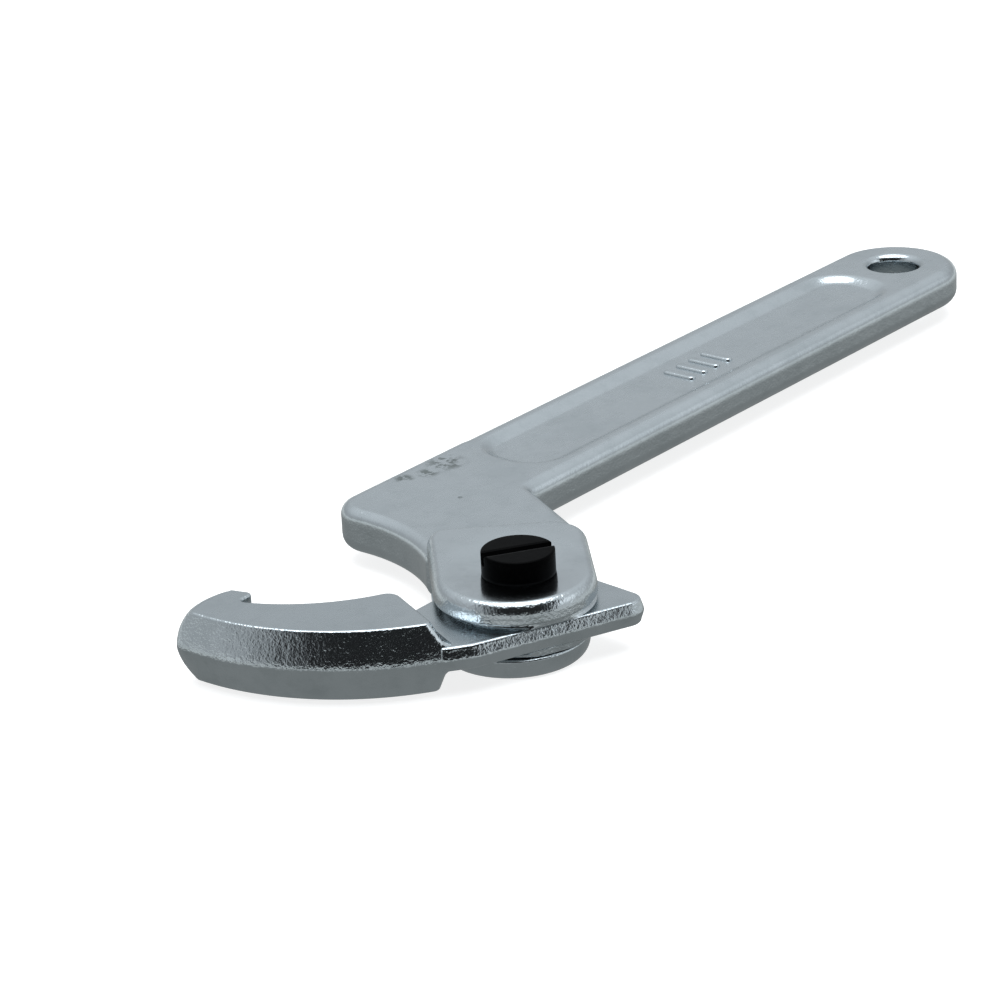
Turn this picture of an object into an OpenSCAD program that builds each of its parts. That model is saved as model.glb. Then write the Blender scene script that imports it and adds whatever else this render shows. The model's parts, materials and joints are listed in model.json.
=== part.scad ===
// Adjustable hook spanner: a forged handle with a forked head, a hinged hook
// jaw and the slotted screw that the jaw swings on.
// Millimetres. The origin is the centre of the hang hole, half way through the
// grip. +X runs along the grip away from the jaw, +Z along the pivot screw
// towards its head. The jaw is drawn in its rest position.
// Head and jaw shapes are laid out from the pivot axis, in the same directions.

/* [Grip] */
// Pivot axis to hang hole, measured along the grip
grip_reach = 216.6; // [180:0.1:260]
// Pivot axis to the grip's centre line, measured across the grip
grip_offset = 49.7; // [47:0.1:51]
// Width of the grip
grip_w = 32.8; // [27:0.1:35]
// Thickness of the grip over its rims
grip_t = 9.8; // [8:0.1:10.2]
// Diameter of the hang hole
hang_hole_d = 13; // [8:0.1:16]
// Width of the sunk panel on each face of the grip
panel_w = 22; // [14:0.5:24]
// Depth of the sunk panel
panel_depth = 1.4; // [0.6:0.1:2]
// Pivot axis to the panel's end at the head, measured along the grip
panel_from = 55.6; // [52:0.1:80]
// Solid length between the panel's other end and the hang hole's axis
panel_gap = 14; // [11:0.5:20]

/* [Head] */
// Thickness of the head plate between grip and fork
head_t = 10.2; // [9.8:0.1:12]
// Radius of the hollow face that bears on the ring
seat_r = 43; // [40:0.5:46]
// Deepest point of that face, measured along the grip from the pivot axis
seat_x = 12.3; // [10:0.1:14]
// Height of the hollow's centre beyond the pivot axis, across the grip
seat_y = 55; // [53:0.5:57]
// Radius of the rounded heel
heel_r = 8.4; // [5:0.1:9]

/* [Fork] */
// Thickness over both ears
fork_t = 17.6; // [16:0.1:19]
// Radius of the ears about the pivot
ear_r = 17.6; // [17:0.1:21.2]
// How far the ears' round ends sit to the hollow's side of the pivot axis
ear_shift = 0.9; // [0:0.1:1.5]
// Pivot axis to the rear edge of the raised ear pads
pad_back = 27.6; // [27:0.1:29]
// Corner radius of the pads
pad_corner_r = 5; // [3:0.1:7]
// Direction of the fork, turned from the grip's direction
fork_angle = 43.7; // [42:0.1:46]
// Pivot axis to the bottom of the slot
slot_depth = 21.5; // [20:0.1:24]

/* [Jaw] */
// Thickness of the hook's arm
arm_t = 15.4; // [14:0.1:17]
// Radius of the arm's inner face
inner_r = 40.6; // [39.5:0.1:41.5]
// Radius of the arm's outer face along its parting line
outer_r = 55.5; // [54.8:0.1:56.5]
// How far the parting line stands proud of the outer face's two edges
arm_draft = 2.5; // [1:0.1:3.5]
// Height of the tooth above the inner face
tooth_h = 4.9; // [3:0.1:6]
// Width of the tooth
tooth_w = 6; // [4.5:0.1:7]
// Thickness of the tongue that runs between the ears
tongue_t = 5.4; // [4.5:0.1:6.6]
// Height of the round boss on each face of the tongue
boss_h = 1.2; // [0.4:0.1:1.4]
// Radius of that boss
boss_r = 15.5; // [12:0.1:15.6]
// Pivot axis to the tongue's long straight edge
tongue_side = 15.8; // [15.7:0.1:16.8]
// Radius of the tongue's round end about the pivot
tongue_r = 17.9; // [17:0.1:18.5]
// Radius of the tongue's pointed tail corner
tail_r = 4.2; // [2:0.1:5]

/* [Pivot screw] */
// Diameter of the screw
screw_d = 10; // [8:0.1:12]
// Diameter of its cheese head
screw_head_d = 15.6; // [14:0.1:18]
// Height of its head
screw_head_h = 5.2; // [4:0.1:7]
// Width of the screwdriver slot
driver_w = 2.2; // [1.2:0.1:3]
// Depth of the screwdriver slot
driver_depth = 2.4; // [1:0.1:3]
// Direction of the screwdriver slot, turned from the grip's direction
driver_angle = -33.6; // [-90:0.1:90]

/* [Clearances] */
// Gap between the screw and each bore, on the radius
screw_gap = 0.05; // [0.03:0.01:0.1]
// Gap between the jaw's bosses and each ear
boss_gap = 0.2; // [0.1:0.05:0.4]

/* [Hidden] */
$fn = 96;
plate_fn = 32;
eps = 0.01;
far = 60;

plate_steel = [0.62, 0.65, 0.66];
bright_steel = [0.68, 0.70, 0.71];
black_steel = [0.07, 0.07, 0.07];

// Rounding of the forging's edges
grip_edge = 3.2;
head_edge = 2.4;
pad_edge = 1.7;
// How far the ears' walls lean in from the middle of the fork to its faces
pad_draft = 0.9;
bore_r = screw_d / 2 + screw_gap;
slot_w = tongue_t + 2 * boss_h + 2 * boss_gap;

// Ends of the grip, seen from the pivot
grip_end = [grip_reach, grip_offset];
grip_root = [63, grip_offset];
grip_top = grip_offset + grip_w / 2;
grip_foot = grip_offset - grip_w / 2;
panel_to = grip_reach - panel_gap;
panel_slope = 1;
// Widening at each mouth of the hang hole
hole_ease = 0.8;
// How far the grip's two long edges stand out past the head plate's edges
top_step = 0.5;
foot_step = 1.5;

// Centre and outline of the head plate, seen from the pivot
seat_centre = [seat_x - seat_r, seat_y];
seat_ease = 1.2;
heel_y = grip_top - top_step - heel_r;
heel = [seat_x + heel_r, heel_y];
head_far = [50, heel_y];
neck_r = 3;
head_near = [42.8, grip_foot + foot_step];
cheek_r = 6.5;
cheek = [27, 12.5];
throat_r = 5;
throat = [2, 17];

// Centres of the arm's two faces, seen from the pivot
inner_centre = [-2.9, 54.5];
outer_centre = [1.8, 43.8];
// Round nose that ends the arm, and the flank of the tooth below it
nose_r = 17.7;
nose = [-43.9, 30.8];
// Height of the nose's curve beyond the tooth's far corner
nose_bulge = 1.2;
tooth_flank_y = nose[1] + nose_r - nose_bulge - tooth_w;
// The wall where the arm drops to the tongue, seen from the pivot
wall_angle = 155.5;
wall_top = 25.4;
wall_foot = 23;
wall_slope = (wall_top - wall_foot) / (arm_t / 2 - tongue_t / 2);
arm_max = 90;
arm_span = 160;

// The tongue's straight edges, by the direction that each one faces
side_angle = -113.2;
tail_angle = -5;
tongue_top = 15.7;
// Where the tongue ends inside the arm, and the two corners of that end
tongue_in_arm = 34;
tongue_in_y = 3;
tongue_in_x = 29;
// Corner circle that touches both straight edges
tail_centre = corner(side_angle, tongue_side - tail_r, tail_angle, tongue_r - tail_r);

// Chamfers of the screw's head and tip, and how far the tip stays inside the lower ear
head_ease = 0.4;
tip_ease = 0.8;
screw_short = 0.5;

// Raised grip marks on the sunk panel
mark_len = 9;
mark_w = 2;
mark_h = 0.5;
mark_pitch = 5;
mark_count = 4;
mark_from_pivot = 122;

// The point that lies at distance da in direction a and distance db in direction b
function corner(a, da, b, db) =
    let (det = cos(a) * sin(b) - sin(a) * cos(b))
    [(da * sin(b) - db * sin(a)) / det, (db * cos(a) - da * cos(b)) / det];

// Points of an arc about c, from angle a to angle b
function arc(c, r, a, b, steps = 24) =
    [for (i = [0:steps]) let (t = a + (b - a) * i / steps) [c[0] + r * cos(t), c[1] + r * sin(t)]];

module from_pivot() {
    translate([-grip_reach, -grip_offset, 0]) children();
}

// A disc whose two rims are rounded, and whose wall leans in by draft at each face
module soft_disc(r, t, edge, draft = 0) {
    rim = r - draft - edge;
    rotate_extrude($fn = plate_fn)
        polygon(concat(
            [[0, -t / 2]],
            arc([rim, edge - t / 2], edge, -90, 0, 4),
            [[r, 0]],
            arc([rim, t / 2 - edge], edge, 0, 90, 4),
            [[0, t / 2]]
        ));
}

// A hole through the plate, eased at both mouths
module eased_hole(r, t, ease) {
    cylinder(r = r, h = t + 2, center = true);
    for (side = [0, 1])
        mirror([0, 0, side])
            translate([0, 0, t / 2 - ease])
                cylinder(r1 = r, r2 = r + ease + eps, h = ease + eps);
}

module grip() {
    hull() {
        translate(grip_end) soft_disc(grip_w / 2, grip_t, grip_edge);
        translate(grip_root) soft_disc(grip_w / 2, grip_t, grip_edge);
    }
}

module head_plate() {
    hull() {
        translate(heel) soft_disc(heel_r, head_t, head_edge);
        translate(head_far) soft_disc(heel_r, head_t, head_edge);
        translate(head_near) soft_disc(neck_r, head_t, head_edge);
        translate(cheek) soft_disc(cheek_r, head_t, head_edge);
        translate(throat) soft_disc(throat_r, head_t, head_edge);
    }
}

module ear_pads() {
    pad_x = pad_back - pad_corner_r;
    pad_y = ear_r - pad_corner_r;
    translate([0, ear_shift, 0])
        hull() {
            soft_disc(ear_r, fork_t, pad_edge, pad_draft);
            for (side = [-1, 1])
                translate([pad_x, side * pad_y])
                    soft_disc(pad_corner_r, fork_t, pad_edge, pad_draft);
        }
}

// The hollow face, widened at both rims so that its edges are eased
module seat_cut() {
    cylinder(r = seat_r, h = head_t + 2, center = true, $fn = 180);
    for (side = [0, 1])
        mirror([0, 0, side])
            translate([0, 0, head_t / 2 - seat_ease])
                cylinder(r1 = seat_r, r2 = seat_r + seat_ease + eps, h = seat_ease + eps,
                         $fn = 180);
}

// The slot between the ears, open everywhere except at its bottom
module fork_slot() {
    translate([-far, -far, -slot_w / 2]) cube([far + slot_depth, 2 * far, slot_w]);
}

// Sunk panel with rounded ends and sloping walls, on both faces
module panel() {
    end_r = panel_w / 2;
    for (side = [0, 1])
        mirror([0, 0, side])
            hull()
                for (x = [panel_from + end_r, panel_to - end_r])
                    translate([x, grip_offset, grip_t / 2 - panel_depth])
                        cylinder(r1 = end_r - panel_slope, r2 = end_r, h = panel_depth + eps,
                                 $fn = plate_fn);
}

// A row of plain raised bars in the panel
module marks() {
    for (i = [0:mark_count - 1])
        translate([mark_from_pivot + i * mark_pitch, grip_offset - mark_len / 2,
                   grip_t / 2 - panel_depth - eps])
            cube([mark_w, mark_len, mark_h + eps]);
}

module handle() {
    color(plate_steel)
        from_pivot()
            difference() {
                union() {
                    difference() {
                        union() {
                            grip();
                            head_plate();
                        }
                        translate(seat_centre) seat_cut();
                        panel();
                        translate(grip_end) eased_hole(hang_hole_d / 2, grip_t, hole_ease);
                    }
                    rotate(fork_angle) ear_pads();
                    marks();
                }
                rotate(fork_angle) fork_slot();
                cylinder(r = bore_r, h = fork_t + 2, center = true);
            }
}

// Arm between the inner face and the drafted outer face, before it is cut to length
module arm_ring() {
    difference() {
        translate(outer_centre)
            for (side = [0, 1])
                mirror([0, 0, side])
                    cylinder(r1 = outer_r, r2 = outer_r - arm_draft, h = arm_t / 2, $fn = 180);
        translate(inner_centre) cylinder(r = inner_r, h = arm_t + 2, center = true, $fn = 180);
    }
}

// Everything on the arm's side of the sloping wall, which runs on past both plates' faces
module wall_side() {
    inside = [wall_foot - wall_slope, tongue_t / 2 - 1];
    outside = [wall_top + wall_slope, arm_t / 2 + 1];
    rotate(wall_angle)
        translate([0, arm_span / 2, 0])
            rotate([90, 0, 0])
                linear_extrude(arm_span)
                    polygon([
                        inside, outside, [arm_max, outside[1]],
                        [arm_max, -outside[1]], [outside[0], -outside[1]], [inside[0], -inside[1]]
                    ]);
}

// Everything short of the arm's rounded nose, which has the outer face's draft too
module nose_side() {
    translate(nose)
        for (side = [0, 1])
            mirror([0, 0, side])
                cylinder(r1 = nose_r + arm_draft, r2 = nose_r, h = arm_t / 2);
    translate([-arm_max, nose[1] - arm_max, -arm_t / 2 - 1]) cube([arm_max, arm_max, arm_t + 2]);
}

module tooth() {
    intersection() {
        nose_side();
        translate([-arm_max, tooth_flank_y, -arm_t / 2]) cube([arm_max, arm_max, arm_t]);
        translate(inner_centre)
            difference() {
                cylinder(r = inner_r + 1, h = arm_t + 2, center = true, $fn = 180);
                cylinder(r = inner_r - tooth_h, h = arm_t + 4, center = true, $fn = 180);
            }
    }
}

module tongue() {
    top_angle = 180 - asin(tongue_top / tongue_r);
    side_start = corner(side_angle, tongue_side, 180, tongue_in_x);
    linear_extrude(tongue_t, center = true)
        polygon(concat(
            arc(tail_centre, tail_r, side_angle, tail_angle, 12),
            arc([0, 0], tongue_r, tail_angle, top_angle, 32),
            [[-tongue_in_arm, tongue_top], [-tongue_in_arm, tongue_in_y], side_start]
        ));
    cylinder(r = boss_r, h = tongue_t + 2 * boss_h, center = true);
}

module hook_jaw() {
    color(bright_steel)
        from_pivot()
            difference() {
                union() {
                    intersection() {
                        arm_ring();
                        wall_side();
                        nose_side();
                    }
                    tooth();
                    tongue();
                }
                cylinder(r = bore_r, h = arm_t, center = true);
            }
}

module pivot_screw() {
    shank_len = fork_t - screw_short;
    color(black_steel)
        from_pivot()
            translate([0, 0, fork_t / 2])
                difference() {
                    union() {
                        cylinder(d = screw_head_d, h = screw_head_h - head_ease);
                        translate([0, 0, screw_head_h - head_ease])
                            cylinder(d1 = screw_head_d, d2 = screw_head_d - 2 * head_ease,
                                     h = head_ease);
                        translate([0, 0, tip_ease - shank_len])
                            cylinder(d = screw_d, h = shank_len - tip_ease + eps);
                        translate([0, 0, -shank_len])
                            cylinder(d1 = screw_d - 2 * tip_ease, d2 = screw_d, h = tip_ease + eps);
                    }
                    rotate(driver_angle)
                        translate([-screw_head_d, -driver_w / 2, screw_head_h - driver_depth])
                            cube([2 * screw_head_d, driver_w, driver_depth + 1]);
                }
}

handle();
hook_jaw();
pivot_screw();
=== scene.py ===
import json
import math

import bmesh
import bpy
import numpy as np
from mathutils import Matrix, Vector
from mathutils.geometry import delaunay_2d_cdt


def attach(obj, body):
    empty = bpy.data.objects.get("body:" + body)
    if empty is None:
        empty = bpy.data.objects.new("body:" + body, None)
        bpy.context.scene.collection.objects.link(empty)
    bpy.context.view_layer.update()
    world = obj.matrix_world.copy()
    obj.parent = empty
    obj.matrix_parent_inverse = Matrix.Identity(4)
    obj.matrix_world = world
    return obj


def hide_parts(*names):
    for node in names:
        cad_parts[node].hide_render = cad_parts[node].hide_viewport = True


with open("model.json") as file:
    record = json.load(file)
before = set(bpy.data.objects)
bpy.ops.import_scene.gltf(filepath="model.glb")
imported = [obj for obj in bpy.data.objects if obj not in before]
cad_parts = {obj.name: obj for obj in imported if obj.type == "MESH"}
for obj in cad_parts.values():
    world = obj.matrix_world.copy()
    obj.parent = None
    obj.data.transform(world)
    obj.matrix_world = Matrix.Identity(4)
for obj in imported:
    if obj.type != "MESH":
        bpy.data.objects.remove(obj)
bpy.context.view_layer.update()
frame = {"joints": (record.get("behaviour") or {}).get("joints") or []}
pivot = np.array(frame["joints"][0]["pos_m"]) * 1000  # everything below is laid out in mm from the pivot axis
print("frame loaded, pivot at", pivot)


def smooth(x, low, high):
    t = np.clip((x - low) / (high - low), 0, 1)
    return t * t * (3 - 2 * t)


def turned(angle):
    c, s = math.cos(math.radians(angle)), math.sin(math.radians(angle))
    return np.array([[c, -s], [s, c]])


# An outline is a loop of straight edges and arcs, joined by round corners. An edge gives how far
# a point stands outside of it, and which way is out. A hollow arc or corner has a minus radius.
def line(angle, reach, **extra):
    return {"angle": math.radians(angle), "reach": reach, **extra}


def bow(x, y, radius, **extra):
    return {"centre": np.array([x, y]), "radius": radius, **extra}


def standoff(edge, p):
    if "angle" in edge:
        out = np.array([math.cos(edge["angle"]), math.sin(edge["angle"])])
        return out @ p - edge["reach"], out
    away = p - edge["centre"]
    far, side = np.linalg.norm(away), math.copysign(1, edge["radius"])
    return side * (far - abs(edge["radius"])), side * away / far


def cornerCentre(a, b, radius, near):
    p = np.array(near, float)  # slides to the point that is one radius inside both edges
    for _ in range(20):
        (fa, na), (fb, nb) = standoff(a, p), standoff(b, p)
        p = p + np.linalg.solve(np.array([na, nb]), np.array([-radius - fa, -radius - fb]))
    return p, na, nb


# Walks the loop. Gives its points, their outward directions, and for each point its edge,
# the next edge, and how far it has turned from the one to the other
def outline(edges, corners, counts=None, step=1.2):
    found = [cornerCentre(e, edges[(i + 1) % len(edges)], r, near)
             for i, (e, (r, near)) in enumerate(zip(edges, corners))]
    points, outs, owners, used = [], [], [], []
    for i, edge in enumerate(edges):
        start, _, outStart = found[i - 1]
        end, outEnd, outNext = found[i]
        first = start + corners[i - 1][0] * outStart
        last = end + corners[i][0] * outEnd
        if "angle" in edge:
            n = counts[2 * i] if counts else max(2, int(np.linalg.norm(last - first) / step))
            t = np.arange(n)[:, None] / n
            points.append(first + (last - first) * t)
            outs.append(np.repeat(outEnd[None], n, 0))
        else:
            side = math.copysign(1, edge["radius"])
            a = math.atan2(*(first - edge["centre"])[::-1])
            b = math.atan2(*(last - edge["centre"])[::-1])
            b = a + side * ((b - a) * side % (2 * math.pi))
            n = counts[2 * i] if counts else max(3, int(abs(edge["radius"] * (b - a)) / step))
            t = a + (b - a) * np.arange(n) / n
            ray = np.stack([np.cos(t), np.sin(t)], 1)
            points.append(edge["centre"] + abs(edge["radius"]) * ray)
            outs.append(side * ray)
        owners.append(np.tile([i, i, 0.0], (n, 1)))
        used.append(n)
        radius = corners[i][0]
        side = math.copysign(1, radius)
        a, b = math.atan2(*outEnd[::-1]), math.atan2(*outNext[::-1])
        b = a + side * ((b - a) * side % (2 * math.pi))
        n = counts[2 * i + 1] if counts else max(5, int(abs(b - a) / 0.2), int(abs(radius * (b - a)) / step))
        share = np.arange(n) / n
        t = a + (b - a) * share
        ray = np.stack([np.cos(t), np.sin(t)], 1)
        points.append(end + radius * ray)
        outs.append(ray)
        owners.append(np.stack([np.full(n, i), np.full(n, (i + 1) % len(edges)), share], 1))
        used.append(n)
    return {"at": np.concatenate(points), "out": np.concatenate(outs),
            "own": np.concatenate(owners), "counts": used, "edges": edges}


def ring(radius, n=72):
    t = np.arange(n) * 2 * math.pi / n
    ray = np.stack([np.cos(t), np.sin(t)], 1)
    return {"at": radius * ray, "out": ray, "own": np.zeros((n, 3)), "edges": [{}]}


def perEdge(rim, key):  # a value of each edge, blended round the corners
    values = np.array([e.get(key, 0.0) for e in rim["edges"]], float)
    own = rim["own"]
    return values[own[:, 0].astype(int)] * (1 - own[:, 2]) + values[own[:, 1].astype(int)] * own[:, 2]


def loopAt(rim, inset, z):
    flat = rim["at"] - rim["out"] * np.broadcast_to(inset, len(rim["at"]))[:, None]
    return np.column_stack([flat, np.broadcast_to(z, len(flat))])


def insideOf(loops, p):  # counts how often a line from each point crosses the loops
    odd = np.zeros(len(p), bool)
    for loop in loops:
        a, b = loop[:, :2], np.roll(loop[:, :2], -1, 0)
        x, y = p[:, 0][:, None], p[:, 1][:, None]
        cross = (a[:, 1] > y) != (b[:, 1] > y)
        rise = np.where(b[:, 1] == a[:, 1], 1, b[:, 1] - a[:, 1])
        odd ^= (cross & (x < a[:, 0] + (y - a[:, 1]) / rise * (b[:, 0] - a[:, 0]))).sum(1) % 2 == 1
    return odd


# Triangles between an outer loop and hole loops, with more loops or open lines kept as creases
def cap(outer, holes, creases, facing):
    chains = [(outer, True)] + [(h, True) for h in holes] + creases
    edges, base = [], 0
    for chain, closed in chains:
        i = np.arange(len(chain) if closed else len(chain) - 1)
        edges.append(np.stack([i, (i + 1) % len(chain)], 1) + base)
        base += len(chain)
    at = np.concatenate([c for c, _ in chains])
    made = delaunay_2d_cdt([Vector(p) for p in at[:, :2]], np.concatenate(edges).tolist(), [], 0, 1e-7)
    where = np.array([v[:] for v in made[0]])
    source = np.array([o[0] if o else -1 for o in made[3]])
    height = np.where(source >= 0, at[source, 2], at[:, 2].mean())
    tri = np.array(made[2])
    middle = where[tri].mean(1)
    tri = tri[insideOf([outer, *holes], middle)]
    a, b, c = where[tri[:, 0]], where[tri[:, 1]], where[tri[:, 2]]
    turn = (b[:, 0] - a[:, 0]) * (c[:, 1] - a[:, 1]) - (b[:, 1] - a[:, 1]) * (c[:, 0] - a[:, 0])
    flip = turn * facing < 0
    tri[flip] = tri[flip][:, ::-1]
    return np.column_stack([where, height]), tri


def band(loops, inward=False):  # a closed grid strip from the first loop down to the last
    n, k = len(loops[0]), len(loops)
    i = np.arange(n)
    row = np.stack([i, i + n, (i + 1) % n + n, (i + 1) % n], 1)
    quads = (row[None] + (np.arange(k - 1) * n)[:, None, None]).reshape(-1, 4)
    return np.concatenate(loops), quads[:, ::-1] if inward else quads


def mirrored(parts):  # the same shape on the other side of the middle plane
    return [(points * [1, 1, -1], np.asarray(polygons)[:, ::-1]) for points, polygons in parts]


# Makes one piece of the points and faces in parts, which are in mm from the pivot
def skin(name, parts, body, finish, place=None):
    faces, at, base = [], [], 0
    for points, polygons in parts:
        at.append(points)
        faces += (np.asarray(polygons) + base).tolist()
        base += len(points)
    at = np.concatenate(at)
    if place is not None:
        at[:, :2] = at[:, :2] @ place.T
    mesh = bpy.data.meshes.new(name)
    mesh.from_pydata(((at + pivot) / 1000).tolist(), [], faces)
    work = bmesh.new()
    work.from_mesh(mesh)
    bmesh.ops.remove_doubles(work, verts=work.verts, dist=4e-6)
    bmesh.ops.dissolve_degenerate(work, edges=work.edges, dist=1e-6)
    # thin fins left along straight rims go, then the few triangles that are missing are put in
    for _ in range(3):
        uses = {e: len(e.link_faces) for e in work.edges}
        fins = [q for q in work.faces if min(uses[e] for e in q.edges) == 1
                and (max(uses[e] for e in q.edges) > 2 or max(uses[e] for e in q.edges) == 1)]
        bmesh.ops.delete(work, geom=fins, context="FACES")
    bmesh.ops.holes_fill(work, edges=[e for e in work.edges if len(e.link_faces) == 1], sides=8)
    bmesh.ops.recalc_face_normals(work, faces=work.faces)
    work.to_mesh(mesh)
    work.free()
    mesh.shade_smooth()
    piece = bpy.data.objects.new(name, mesh)
    bpy.context.scene.collection.objects.link(piece)
    mesh.materials.append(finish)
    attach(piece, body)
    print("piece", name, len(mesh.vertices), "points")
    return piece


# A plate with rounded edges: its wall follows the outline, leans in by lean(z), and turns over
# into each flat face in a quarter round, which reach makes narrower at the top. top and foot
# are the heights of the two faces, one value or one for each point.
def softPlate(rim, top, foot, topRound, footRound, lean=None, wall=6, turns=7, reach=1.0):
    lean = lean or (lambda z: 0 * z)
    n = len(rim["at"])
    top, foot, topRound, footRound = (np.broadcast_to(v, n) for v in (top, foot, topRound, footRound))
    loops = []
    for a in np.radians(np.linspace(90, 0, turns)):
        z = top - topRound * (1 - math.sin(a))
        side = lean(np.minimum(z, top - topRound))
        loops.append(loopAt(rim, side + reach * topRound * (1 - math.cos(a)), z))
    for t in np.linspace(0, 1, wall + 1)[1:-1]:
        z = (top - topRound) * (1 - t) + (foot + footRound) * t
        loops.append(loopAt(rim, lean(z), z))
    for a in np.radians(np.linspace(0, 90, turns)):
        z = foot + footRound * (1 - math.sin(a))
        loops.append(loopAt(rim, lean(np.maximum(z, foot + footRound)) + footRound * (1 - math.cos(a)), z))
    return loops


def drilled(radius, top, foot, ease, turns=4):  # the wall of a round hole, eased at both mouths
    rim = ring(radius)
    bends = np.radians(np.linspace(90, 0, turns))
    loops = [loopAt(rim, -ease * (1 - math.cos(a)), top - ease * (1 - math.sin(a))) for a in bends]
    loops += [loopAt(rim, -ease * (1 - math.cos(a)), foot + ease * (1 - math.sin(a))) for a in bends[::-1]]
    return loops


# A solid from a stack of loops and the walls of its holes, with a flat face at each end
def closed(loops, holes=(), topCreases=(), footCreases=(), support=0.25):
    def inner(loop, nextLoop):  # a loop just inside the edge keeps the flat face's shading flat
        away = loop[:, :2] - nextLoop[:, :2]
        away /= np.maximum(np.linalg.norm(away, axis=1), 1e-9)[:, None]
        moved = loop.copy()
        moved[:, :2] += away * support
        return moved
    parts = [band(loops)]
    for hole in holes:
        parts.append(band(hole, inward=True))
    for k, step, facing, creases in ((0, 1, 1, topCreases), (-1, -1, -1, footCreases)):
        extra = [(inner(loops[k], loops[k + step]), True)] if support else []
        parts.append(cap(loops[k], [h[k] for h in holes], [*extra, *creases], facing))
    return parts


# A shader value. Python's own operators on it make the shader's maths nodes
class Signal:
    def __init__(self, finish, socket):
        self.finish, self.socket = finish, socket

    def calc(self, operation, *others):
        values = dict(enumerate([self, *others]))
        return self.finish.put("ShaderNodeMath", {"operation": operation}, values).read()

    def __add__(self, other): return self.calc("ADD", other)
    def __radd__(self, other): return self.calc("ADD", other)
    def __mul__(self, other): return self.calc("MULTIPLY", other)
    def __rmul__(self, other): return self.calc("MULTIPLY", other)
    def __sub__(self, other): return self.calc("SUBTRACT", other)
    def __rsub__(self, other): return self.calc("SUBTRACT", other) * -1
    def __pow__(self, other): return self.calc("POWER", other)
    def __abs__(self): return self.calc("ABSOLUTE")

    def ramp(self, low, high, first=0.0, last=1.0):  # first below low, last above high, smooth between
        return self.finish.put("ShaderNodeMapRange", {"interpolation_type": "SMOOTHSTEP"},
                               {0: self, 1: low, 2: high, 3: first, 4: last}).read()


class Built:  # a node whose outputs are read as signals
    def __init__(self, finish, node):
        self.finish, self.node = finish, node

    def read(self, name=0):
        return Signal(self.finish, self.node.outputs[name])


class Finish:  # one material's nodes. put takes a node's type, its settings and its sockets' values
    def __init__(self, tree):
        self.tree = tree
        tree.nodes.clear()

    def put(self, kind, settings=None, sockets=None):
        node = self.tree.nodes.new(kind)
        for key, value in (settings or {}).items():
            setattr(node, key, value)
        for key, value in (sockets or {}).items():
            if isinstance(value, Signal):
                self.tree.links.new(value.socket, node.inputs[key])
            else:
                node.inputs[key].default_value = value
        return Built(self, node)

    def noise(self, at, scale, detail=2.0, rough=0.5):
        return self.put("ShaderNodeTexNoise", None, {"Vector": at, "Scale": scale, "Detail": detail,
                                                     "Roughness": rough}).read("Fac")

    def blend(self, share, a, b):
        return self.put("ShaderNodeMix", {"data_type": "RGBA"}, {0: share, 6: a, 7: b}).read(2)


def newFinish(name):
    material = bpy.data.materials.new(name)
    material.use_nodes = True
    return material, Finish(material.node_tree)


platingLook = {
    "bright": (0.575, 0.62, 0.645), "dull": (0.47, 0.515, 0.535),  # plated steel, and its duller patches
    "film": (0.30, 0.335, 0.35), "stained": (0.14, 0.16, 0.155),   # grey haze, and where the plating is eaten
    "faceRoughness": 0.27, "wallRoughness": 0.16,  # ground faces are satin, forged walls shine
    "grain": 0.62,                                 # mm across one grain of the forged skin
    "rubbed": (11.0, 17.0),                        # mm from the pivot: rubbed bright, then no longer
    "rough": (22.0, 32.0), "roughGrain": 0.95,     # and where the depth of the grain changes over
}
# wallGrain and faceGrain: how deep the grain is on the walls and on the flat faces. haze: the share of
# grey film on the flat faces. spots: the stains of the top face, x and y from the pivot and size, in mm.
handleLook = {"wallGrain": 0.45, "faceGrain": 0.05, "haze": 0.0,
              "spots": [(46.0, 58.6, 6.2), (39, 58.2, 3.4), (33.5, 60.5, 3.0), (31.8, 42.7, 0.9)]}
jawLook = {"wallGrain": 1.25, "faceGrain": 0.07, "haze": 0.32}


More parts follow.
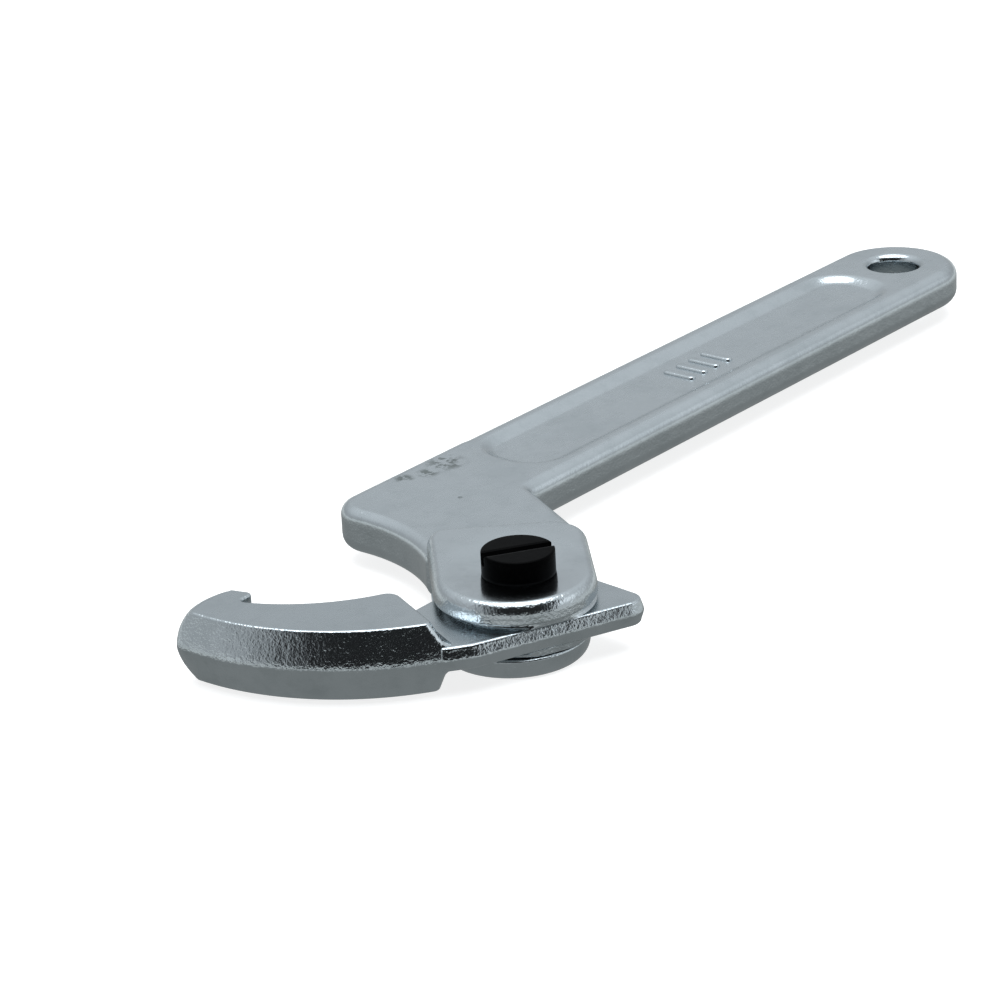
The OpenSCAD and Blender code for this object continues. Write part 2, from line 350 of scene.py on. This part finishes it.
# Plated forging: flat faces are satin with faint clouds and hairlines, walls and rounds are shinier
# and pebbled, and the metal about the pivot is rubbed bright
def platedFinish(name, wallGrain, faceGrain, haze, spots=()):
    look = platingLook
    material, f = newFinish(name)
    at = f.put("ShaderNodeTexCoord").read("Object")
    lift = f.put("ShaderNodeSeparateXYZ", None, {0: f.put("ShaderNodeNewGeometry").read("Normal")}).read("Z")
    flat = abs(lift).ramp(0.9, 0.995)
    clouds = f.noise(at, 70, 4.0, 0.6)
    blotch = f.noise(at, 260, 3.0, 0.65)
    grain = f.noise(at, 1000 / look["grain"], 1.5, 0.6)
    coarse = f.noise(at, 330, 1.0, 0.4)
    fine = f.noise(at, 4200, 1.0, 0.5)
    stretched = f.put("ShaderNodeMapping", None, {"Vector": at, "Scale": (90, 1500, 400)}).read()
    hair = f.noise(stretched, 1.0, 2.0, 0.7)
    dull = clouds.ramp(0.42, 0.72) * 0.55 + blotch.ramp(0.45, 0.75) * 0.35
    stain = None
    place = f.put("ShaderNodeSeparateXYZ", None, {0: at})
    x, y = place.read("X"), place.read("Y")
    for sx, sy, size in spots:
        away = ((x - (pivot[0] + sx) / 1000) ** 2 + (y - (pivot[1] + sy) / 1000) ** 2) ** 0.5
        spot = (away * 1000).ramp(size * 0.35, size, 1.0, 0.0)
        stain = spot if stain is None else stain.calc("MAXIMUM", spot)
    colour = f.blend(dull, (*look["bright"], 1), (*look["dull"], 1))
    colour = f.blend(flat * haze, colour, (*look["film"], 1))
    roughness = (flat * (look["faceRoughness"] - look["wallRoughness"]) + look["wallRoughness"]
                 + (clouds - 0.5) * 0.16 + (hair - 0.5) * flat * 0.08)
    if stain is not None:
        ragged = stain * f.noise(at, 420, 3.0, 0.7).ramp(0.44, 0.56)
        eaten = (ragged * lift.ramp(0.8, 0.95)).calc("MINIMUM", 1.0)
        colour = f.blend(eaten * 0.85, colour, (*look["stained"], 1))
        roughness = roughness + eaten * 0.2
    fromPivot = ((x - pivot[0] / 1000) ** 2 + (y - pivot[1] / 1000) ** 2) ** 0.5 * 1000
    rubbed = fromPivot.ramp(*look["rubbed"], 1.0, 0.0)
    depth = fromPivot.ramp(*look["rough"], look["roughGrain"], wallGrain)
    roughness = roughness * (1 - rubbed * 0.55)
    height = (grain * (1 - flat) * depth + coarse * (1 - flat) * depth * 0.9
              + grain * flat * faceGrain + fine * flat * faceGrain * 0.3)
    bump = f.put("ShaderNodeBump", None, {"Strength": 1.0, "Distance": 0.0001, "Height": height}).read()
    shader = f.put("ShaderNodeBsdfPrincipled", None, {"Base Color": colour, "Metallic": 1.0,
                                                      "Roughness": roughness, "Normal": bump}).read()
    f.put("ShaderNodeOutputMaterial", None, {"Surface": shader})
    return material


handleFinish = platedFinish("platedHandle", **handleLook)
jawFinish = platedFinish("platedJaw", **jawLook)

blackLook = {"coat": (0.0005, 0.0005, 0.0006), "worn": (0.0022, 0.0022, 0.0024), "roughness": 0.36}


def blackFinish():
    material, f = newFinish("blackOxide")
    at = f.put("ShaderNodeTexCoord").read("Object")
    mottle = f.noise(at, 500, 3.0, 0.6)
    turning = f.noise(f.put("ShaderNodeMapping", None, {"Vector": at, "Scale": (120, 120, 2600)}).read(), 1.0)
    colour = f.blend(mottle.ramp(0.5, 0.8) * 0.5, (*blackLook["coat"], 1), (*blackLook["worn"], 1))
    roughness = blackLook["roughness"] + (mottle - 0.5) * 0.25
    bump = f.put("ShaderNodeBump", None, {"Strength": 1.0, "Distance": 0.00005,
                                          "Height": mottle * 0.5 + turning * 0.3}).read()
    shader = f.put("ShaderNodeBsdfPrincipled", None, {"Base Color": colour, "Metallic": 0.0,
                                                      "Roughness": roughness, "Normal": bump,
                                                      "Specular IOR Level": 0.02}).read()
    f.put("ShaderNodeOutputMaterial", None, {"Surface": shader})
    return material


screwFinish = blackFinish()
print("finishes ready")

# The handle's plate: grip, head and neck in one outline. A side is its outward angle and its
# distance from the pivot. The seat is a hollow arc: its centre and, with a minus, its radius.
gripLook = {
    "thick": 9.8, "headThick": 10.2, "gripRound": 3.2, "headRound": 2.4, "slotRound": 1.2,
    "nearSide": (-90, -33.3), "endSide": (0, 233.0), "farSide": (90.146, 65.55),
    "seat": (-30.7, 55.0, -43.0), "neckSide": (-103.7, -12.02), "throatSide": (-27.94, 24.5),
    "slotBottom": 21.5, "forkAngle": 43.7,
    "endRadius": 16.39, "heelRadius": 8.4, "slotCorner": 1.6, "neckRadius": 6.5, "throatRadius": -1.6,
    "stepAt": (45.5, 38), "stepOut": (0.83, -0.40), "stepWide": (-1.2, 1.6),
    "panel": (55.6, 202.6, 49.7, 22.0),  # from x, to x, middle y, width
    "panelDepth": 1.4, "panelCorner": 9.5, "panelWall": (-1.1, 2.9), "panelCreases": (-1.3, 3.1, 12),
    "holeRadius": 6.5, "holeEase": 1.7,
}
hole = -pivot[:2]  # the hang hole's centre is the frame's origin
gripEdge, headEdge = {"edge": gripLook["gripRound"]}, {"edge": gripLook["headRound"]}

plateRim = outline(
    [line(*gripLook["nearSide"], **gripEdge), line(*gripLook["endSide"], **gripEdge),
     line(*gripLook["farSide"], **gripEdge), bow(*gripLook["seat"], **headEdge),
     line(gripLook["forkAngle"] + 180, -gripLook["slotBottom"], edge=gripLook["slotRound"]),
     line(*gripLook["neckSide"], **headEdge), line(*gripLook["throatSide"], **headEdge)],
    [(gripLook["endRadius"], (216, 49)), (gripLook["endRadius"], (216, 50)),
     (gripLook["heelRadius"], (20.6, 57.2)), (gripLook["slotCorner"], (5, 27)),
     (gripLook["slotCorner"], (23, 9)), (gripLook["neckRadius"], (27, 12.5)),
     (gripLook["throatRadius"], (46, 32))])


# The head stands a little above the grip: a soft step along a slanting line
def faceHeight(p):
    (x, y), (outX, outY) = gripLook["stepAt"], gripLook["stepOut"]
    share = smooth((p[:, 0] - x) * outX + (p[:, 1] - y) * outY, *gripLook["stepWide"])
    return gripLook["headThick"] / 2 * (1 - share) + gripLook["thick"] / 2 * share


plateTop = faceHeight(plateRim["at"])
plateEdge = perEdge(plateRim, "edge")
plateLoops = softPlate(plateRim, plateTop, -plateTop, plateEdge, plateEdge, turns=8)

x0, x1, yMid, wide = gripLook["panel"]
panelEnds = [(gripLook["panelCorner"], (x, yMid)) for x in (x1 - 10, x1 - 10, x0 + 10, x0 + 10)]
panelRim = outline(
    [line(-90, -(yMid - wide / 2)), line(0, x1), line(90, yMid + wide / 2), line(180, -x0)], panelEnds)


def panelCreases(side):
    creases = []
    for inset in np.linspace(*gripLook["panelCreases"]):
        depth = gripLook["panelDepth"] * smooth(inset, *gripLook["panelWall"])
        loop = loopAt(panelRim, inset, 0)
        loop[:, 2] = side * (faceHeight(loop) - depth)
        creases.append((loop, True))
    return creases


halfThick = gripLook["thick"] / 2
holeWall = drilled(gripLook["holeRadius"], halfThick, -halfThick, gripLook["holeEase"], turns=6)
for loop in holeWall:
    loop[:, :2] += hole
holeLip = loopAt(ring(gripLook["holeRadius"] + gripLook["holeEase"] + 0.25), 0, halfThick)
holeLip[:, :2] += hole
lowLip = holeLip * [1, 1, -1]
gripPiece = skin("gripAndHead", closed(
    plateLoops, [holeWall], [*panelCreases(1), (holeLip, True)], [*panelCreases(-1), (lowLip, True)]),
    "handle", handleFinish)
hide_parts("handle")

# The two ears of the fork, laid out in the fork's own directions
earLook = {
    "slot": 4.1, "face": 8.8, "radius": 17.6, "shift": 0.9, "back": 27.6, "backCorners": (8.5, 5.0),
    "edge": 3.3, "reach": 0.62, "slotEase": 0.45, "draft": 0.7, "bore": 5.05, "boreEase": 0.3,
    "flare": 1.5, "flareFrom": 5.0, "overPlate": (25.5, 27.4), "lowInset": 1.1, "lowShift": 0.7,
}
left, right = earLook["shift"] + earLook["radius"], earLook["shift"] - earLook["radius"]
roundEnd = (earLook["radius"] - 0.01, (0, earLook["shift"]))
earRim = outline(
    [line(-90, -right), line(0, earLook["back"]), line(90, left), line(180, earLook["radius"])],
    [(earLook["backCorners"][0], (19, right + 8)), (earLook["backCorners"][1], (22, left - 5)),
     roundEnd, roundEnd], step=1.0)
overPlate = smooth(earRim["at"][:, 0], *earLook["overPlate"])


def earLean(z):  # a slight draft, and a flare where the ear runs out over the plate
    z = np.broadcast_to(z, len(earRim["at"]))
    low = np.clip(1 - (np.maximum(z, earLook["flareFrom"]) - earLook["flareFrom"]) / earLook["flare"], 0, 1)
    flare = earLook["flare"] * (1 - np.sqrt(1 - low ** 2))
    return earLook["draft"] * z / earLook["face"] - flare * overPlate


def lowLean(z):  # the lower ear is a little smaller all round
    return earLean(z) + earLook["lowInset"] - earLook["lowShift"] * earRim["out"][:, 1]


def earBody(lean):
    loops = softPlate(earRim, earLook["face"], earLook["slot"], earLook["edge"], earLook["slotEase"],
                      lean, wall=8, turns=13, reach=earLook["reach"])
    return closed(loops, [drilled(earLook["bore"], earLook["face"], earLook["slot"], earLook["boreEase"])])


fork = turned(gripLook["forkAngle"])
skin("upperEar", earBody(earLean), "handle", handleFinish, fork)
skin("lowerEar", mirrored(earBody(lowLean)), "handle", handleFinish, fork)

# Plain raised bars in the panel
barLook = {"first": 122.0, "pitch": 5.0, "count": 4, "long": 9.0, "wide": 2.2, "base": 3.0, "top": 4.1,
           "corner": 0.95, "round": 0.6}
bars = []
for i in range(barLook["count"]):
    middle = barLook["first"] + i * barLook["pitch"] + barLook["wide"] / 2
    barEnds = [(barLook["corner"], (middle, y)) for y in (yMid - 3, yMid + 3, yMid + 3, yMid - 3)]
    barRim = outline(
        [line(-90, -(yMid - barLook["long"] / 2)), line(0, middle + barLook["wide"] / 2),
         line(90, yMid + barLook["long"] / 2), line(180, -(middle - barLook["wide"] / 2))], barEnds)
    bars += closed(softPlate(barRim, barLook["top"], barLook["base"], barLook["round"], 0.05, turns=8),
                   support=0.1)
skin("gripBars", bars, "handle", handleFinish)

# The hook's arm, with its tooth and nose. An arc is its centre and radius
armLook = {
    "thick": 15.4, "inner": (-2.9, 54.5, -40.6), "tip": (-2.9, 54.5, -35.7), "outer": (1.8, 43.8, 55.5),
    "nose": (-43.9, 30.8, 20.2), "draft": 3.1, "noseDraft": 3.2, "flank": 41.3,
    "outerLean": 21, "noseLean": 49,  # degrees by which a face leans where its rounded edge begins
    "wallAngle": 155.5, "wallTop": 25.4, "wallLow": 24.0, "wallFoot": 23.0, "wallTall": 5,
    "footAt": 2.7, "footRound": 1.6,  # the wall stands on the tongue's face
}
half = armLook["thick"] / 2


def armRim(z, counts=None):  # the arm's outline at a height
    level = (math.sqrt(z * z + 0.9) - 0.95) / half
    bulge = abs(z / half) ** 2.4
    rise = abs(z) - armLook["footAt"]
    foot, top = armLook["wallFoot"], armLook["wallTop"] if z > 0 else armLook["wallLow"]
    low = min(max(1 - rise / armLook["footRound"], 0), 1)
    fillet = armLook["footRound"] * (1 - math.sqrt(1 - low ** 2))
    wall = foot + (top - foot) * max(rise, 0) / armLook["wallTall"] - fillet
    slope = math.degrees(math.atan2(top - foot, armLook["wallTall"])) if abs(z) > 4 else 0
    ox, oy, outerR = armLook["outer"]
    nx, ny, noseR = armLook["nose"]
    edges = [bow(ox, oy, outerR - armLook["draft"] * level, edge=0.6, lean=armLook["outerLean"]),
             line(armLook["wallAngle"] + 180, -wall, edge=0.8, lean=slope),
             bow(*armLook["inner"], edge=0.7), line(-90, -armLook["flank"], edge=0.6),
             bow(*armLook["tip"], edge=0.6),
             bow(nx, ny, noseR - armLook["noseDraft"] * bulge, edge=2.2, lean=armLook["noseLean"])]
    corners = [(1.6, (-31, -1)), (3.0, (-24, 16)), (-1.0, (-41, 40.5)), (1.4, (-38, 43)), (1.6, (-39, 46)),
               (2.6, (-50, 46))]
    return outline(edges, corners, counts, step=1.3)


counts = armRim(0)["counts"]
armLoops = []
for side in (1, -1):
    rim = armRim(side * (half - 0.55), counts)
    r, lean = perEdge(rim, "edge"), np.radians(perEdge(rim, "lean"))
    loops = []
    for t in np.linspace(1, 0, 7):
        turn = lean + (math.pi / 2 - lean) * t
        loops.append(loopAt(rim, r * (np.cos(lean) - np.cos(turn)), side * (half - r * (1 - np.sin(turn)))))
    for z in (6.5, 5.9, 5.2, 4.5, 3.9, 3.4, 3.0, 2.8, 2.3, 1.6, 1.0, 0.5, 0.2):
        rim = armRim(side * z, counts)
        loops.append(loopAt(rim, 0, side * z))
    armLoops = armLoops + [loopAt(armRim(0, counts), 0, 0)] + loops[::-1] if side < 0 else loops
skin("hookArm", closed(armLoops), "jaw", jawFinish)

# The tongue between the ears, and its two bosses. A side is its outward angle and its
# distance from the pivot
tongueLook = {
    "half": armLook["footAt"], "edge": 0.7, "side": 15.8, "sideAngle": -113.2,
    "tail": 17.9, "tailAngle": -5.0, "backAngle": 110, "tailRadius": 4.2, "top": 15.7, "inArm": 25.6,
    "frontSide": (-128, 20.1), "vee": 0.34,  # vee: how steeply the edge leans back from its middle
    "boss": 15.5, "bossTop": 3.9, "bossFoot": 1.2, "bossEase": 0.35, "bossIn": 0.9,
    "flare": 0.9, "flareFrom": 2.6, "boreEase": 0.1, "bossBoreEase": 0.3,
}
tongueRound = {"edge": tongueLook["edge"]}
tongueRim = outline(
    [line(tongueLook["sideAngle"], tongueLook["side"], **tongueRound),
     line(tongueLook["tailAngle"], tongueLook["tail"], **tongueRound),
     line(tongueLook["backAngle"], tongueLook["tail"], **tongueRound),
     line(90, tongueLook["top"], **tongueRound),
     line(armLook["wallAngle"], tongueLook["inArm"], **tongueRound),
     line(*tongueLook["frontSide"], **tongueRound)],
    [(tongueLook["tailRadius"], (12, -17)), (tongueLook["tail"] - 0.02, (0, 0)), (-6.0, (-9, 21)),
     (1.5, (-20, 14)), (1.7, (-28, -2)), (12.0, (-17, 3))], step=1.0)
tongueEdge = perEdge(tongueRim, "edge")


def tongueLean(z):  # both ways back from the parting line, which is softened
    return (np.sqrt(z * z + 0.06) - 0.245) * tongueLook["vee"]


def bossFlare(z):  # a fillet out onto the tongue's face
    above = np.maximum(z, tongueLook["flareFrom"]) - tongueLook["flareFrom"]
    low = np.clip(1 - above / tongueLook["flare"], 0, 1)
    return -tongueLook["flare"] * (1 - np.sqrt(1 - low ** 2))


tongueBore = drilled(earLook["bore"], tongueLook["half"], -tongueLook["half"], tongueLook["boreEase"])
tongueLoops = softPlate(tongueRim, tongueLook["half"], -tongueLook["half"], tongueEdge, tongueEdge,
                        tongueLean, wall=10, turns=6)
tongue = skin("hookTongue", closed(tongueLoops, [tongueBore]), "jaw", jawFinish)
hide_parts("hook_jaw")

bossLoops = softPlate(ring(tongueLook["boss"], 120), tongueLook["bossTop"], tongueLook["bossFoot"],
                      tongueLook["bossEase"], 0.05, bossFlare, wall=12, turns=5)
bossBore = drilled(earLook["bore"], tongueLook["bossTop"], tongueLook["bossFoot"], tongueLook["bossBoreEase"])
boss = closed(bossLoops, [bossBore])
sideOut = np.array([*turned(tongueLook["sideAngle"]) @ [1, 0], 0])
for points, _ in boss:  # the boss ends flush with the tongue's long edge, which leans in
    points -= np.maximum(points @ sideOut - tongueLook["side"] + tongueLook["bossIn"], 0)[:, None] * sideOut
skin("upperBoss", boss, "jaw", jawFinish)
skin("lowerBoss", mirrored(boss), "jaw", jawFinish)

# The slotted screw
screwLook = {"headRadius": 7.8, "headTall": 5.2, "seatAt": earLook["face"], "slotWide": 2.2, "slotDeep": 2.4,
             "slotAngle": -33.6, "slotEase": 0.18, "ease": 0.45, "shank": 5.0, "tip": -8.3, "tipEase": 0.8}


# The head is cut in slices across the slot. Each slice is a loop up one side, over the top
# and down the other; its top is the lower of the slot's floor and the eased rim.
def screwHead():
    r, h = screwLook["headRadius"], screwLook["headTall"]
    halfSlot, soft = screwLook["slotWide"] / 2, screwLook["slotEase"]
    across = np.concatenate([-r * np.cos(np.linspace(0, math.pi / 2, 26))[:-1], [0]])
    atWall = np.array([-0.3, -0.18, -0.08, 0.0, 0.0005, 0.06, 0.18, 0.4, 0.8]) - halfSlot
    across = np.sort(np.concatenate([across[across < -halfSlot - 0.4], atWall]))
    across = np.concatenate([across, -across[::-1]])
    lift = np.where(np.abs(across) < halfSlot - 0.0002,
                    h - screwLook["slotDeep"] + 0.15 * smooth(np.abs(across), halfSlot - 0.3, halfSlot),
                    h - soft * (1 - smooth(np.abs(across), halfSlot, halfSlot + 0.3)))
    reach = np.sqrt(np.maximum(r * r - across ** 2, 0))
    sweep = np.linspace(-1, 1, 61)
    sweep = np.sign(sweep) * (1 - (1 - np.abs(sweep)) ** 2)
    along = reach[:, None] * sweep[None]
    fromRim = r - np.sqrt(across[:, None] ** 2 + along ** 2)
    eased = h - screwLook["ease"] * (1 - np.sqrt(1 - np.clip(1 - fromRim / screwLook["ease"], 0, 1) ** 2))
    top = np.minimum(lift[:, None], eased)
    fall = np.linspace(0, 1, 8)[1:]
    down = top[:, -1:] * (1 - fall[None])
    rise = down[:, ::-1]
    sides = np.repeat(reach[:, None], len(fall), 1)
    ys = np.concatenate([-sides, along, sides], 1)
    zs = np.concatenate([rise, top, down], 1)
    xs = np.repeat(across[:, None], ys.shape[1], 1)
    at = np.stack([xs, ys, zs + screwLook["seatAt"]], 2)
    rows, columns = at.shape[:2]
    i, j = np.meshgrid(np.arange(rows - 1), np.arange(columns), indexing="ij")
    k = (j + 1) % columns
    quads = np.stack([i * columns + j, (i + 1) * columns + j, (i + 1) * columns + k, i * columns + k], 2)
    return at.reshape(-1, 3), quads.reshape(-1, 4)


head = skin("screwHead", [screwHead()], "handle", screwFinish,
            turned(screwLook["slotAngle"] + 90))
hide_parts("pivot_screw")
shankLoops = softPlate(ring(screwLook["shank"], 64), screwLook["seatAt"] + 0.1, screwLook["tip"],
                       0.02, screwLook["tipEase"], wall=6, turns=6)
skin("screwShank", closed(shankLoops), "handle", screwFinish)

# Floor, light and camera
stageLook = {
    "floor": 0.4, "glow": 0.80, "drop": -8.85,                       # the floor's colour, light and height
    "cameraTurn": 49.636, "cameraTilt": 22.28, "cameraRoll": -3.04,  # degrees
    "away": 727.44, "lens": 126.0, "aimHeight": 8.8,                 # mm
    "aside": 3.9074, "below": 14.9021,  # mm by which the screw's seat is right of and below the axis
}
lampLook = {"place": (-0.1, -0.1, 1.6), "size": 1.8, "power": 14, "aim": (-0.12, -0.03, 0)}
roomLook = {
    "lowGlow": (0.28, 0.78), "wallGlow": (0.52, 0.80), "lamp": 2.6, "sideLamp": 0.8, "gapDepth": 0.965,
    "lowTint": (0.95, 1.0, 1.0), "highTint": (0.91, 0.96, 1.0),
}
turn = turned(-stageLook["cameraTurn"])
across3 = np.array([*turn @ [1, 0], 0])
ahead3 = np.array([*turn @ [0, 1], 0])


def makeFloor():
    n, size = 24, 6.0
    x, y = np.meshgrid(np.linspace(-size, size, n), np.linspace(-size, size, n), indexing="ij")
    at = np.stack([x, y, np.full_like(x, stageLook["drop"] / 1000)], 2).reshape(-1, 3)
    i, j = np.meshgrid(np.arange(n - 1), np.arange(n - 1), indexing="ij")
    quads = np.stack([i * n + j, (i + 1) * n + j, (i + 1) * n + j + 1, i * n + j + 1], 2).reshape(-1, 4)
    mesh = bpy.data.meshes.new("floor")
    mesh.from_pydata(at.tolist(), [], quads.tolist())
    floor = bpy.data.objects.new("floor", mesh)
    bpy.context.scene.collection.objects.link(floor)
    material, f = newFinish("paleFloor")
    shader = f.put("ShaderNodeBsdfPrincipled", None, {
        "Base Color": (stageLook["floor"],) * 3 + (1,), "Roughness": 0.9, "Specular IOR Level": 0.1,
        "Emission Color": (1, 1, 1, 1), "Emission Strength": stageLook["glow"]}).read()
    f.put("ShaderNodeOutputMaterial", None, {"Surface": shader})
    mesh.materials.append(material)
    floor.visible_glossy = False


# A soft studio room: pale low walls, a wide lamp overhead, and a dark gap on one side
def makeRoom():
    world = bpy.data.worlds.new("studio")
    bpy.context.scene.world = world
    world.use_nodes = True
    f = Finish(world.node_tree)
    direction = f.put("ShaderNodeTexCoord").read("Generated")

    def along(axis):
        dot = f.put("ShaderNodeVectorMath", {"operation": "DOT_PRODUCT"}, {0: direction, 1: tuple(axis)})
        return dot.read("Value")

    side, ahead, up = along(across3), along(ahead3), along((0, 0, 1))
    low = up.ramp(-0.42, -0.04, *roomLook["lowGlow"])
    wall = up.ramp(0.15, 0.75, *roomLook["wallGlow"])
    light = low + up.ramp(-0.02, 0.04) * (wall - low)
    lamp = up.ramp(0.82, 0.94) * roomLook["lamp"]
    rightLamp = side.ramp(0.76, 0.88) * ahead.ramp(-0.4, 0.4, 1.0, 0.2) * up.ramp(0.0, 0.35)
    rightLamp = rightLamp * roomLook["sideLamp"]
    gap = ahead.ramp(-0.35, -0.10, 1.0, 0.0) * up.ramp(-0.10, 0.02) * up.ramp(0.76, 0.86, 1.0, 0.0)
    gap = gap * side.ramp(-0.92, -0.40) * side.ramp(0.68, 0.86, 1.0, 0.0)
    light = (light + lamp + rightLamp) * (1 - gap * roomLook["gapDepth"])
    tint = f.blend(up.ramp(-0.3, 0.3), (*roomLook["lowTint"], 1), (*roomLook["highTint"], 1))
    shade = f.put("ShaderNodeBackground", None, {"Color": tint, "Strength": light}).read()
    f.put("ShaderNodeOutputWorld", None, {"Surface": shade})


def makeLamp():
    lamp = bpy.data.lights.new("overhead", "AREA")
    lamp.shape, lamp.size, lamp.energy = "DISK", lampLook["size"], lampLook["power"]
    holder = bpy.data.objects.new("overhead", lamp)
    holder.location = lampLook["place"]
    aim = Vector(lampLook["aim"]) - Vector(lampLook["place"])
    holder.rotation_euler = aim.to_track_quat("-Z", "Y").to_euler()
    holder.visible_glossy = False
    bpy.context.scene.collection.objects.link(holder)


def makeCamera():
    tilt, roll = math.radians(stageLook["cameraTilt"]), math.radians(stageLook["cameraRoll"])
    forward = ahead3 * math.cos(tilt) - np.array([0, 0, math.sin(tilt)])
    lift = ahead3 * math.sin(tilt) + np.array([0, 0, math.cos(tilt)])
    right = across3 * math.cos(roll) + lift * math.sin(roll)
    up = -across3 * math.sin(roll) + lift * math.cos(roll)
    aim = pivot + np.array([0, 0, stageLook["aimHeight"]])
    back = forward * stageLook["away"] + right * stageLook["aside"] - up * stageLook["below"]
    place = (aim - back) / 1000
    camera = bpy.data.cameras.new("camera")
    camera.lens, camera.sensor_width, camera.clip_start = stageLook["lens"], 36.0, 0.01
    holder = bpy.data.objects.new("camera", camera)
    holder.matrix_world = Matrix(np.block([[np.stack([right, up, -forward], 1), place[:, None]],
                                           [np.zeros((1, 3)), np.ones((1, 1))]]).tolist())
    bpy.context.scene.collection.objects.link(holder)
    bpy.context.scene.camera = holder


makeFloor()
makeRoom()
makeLamp()
makeCamera()
print("stage ready")
bpy.context.scene.view_settings.view_transform = "Standard"
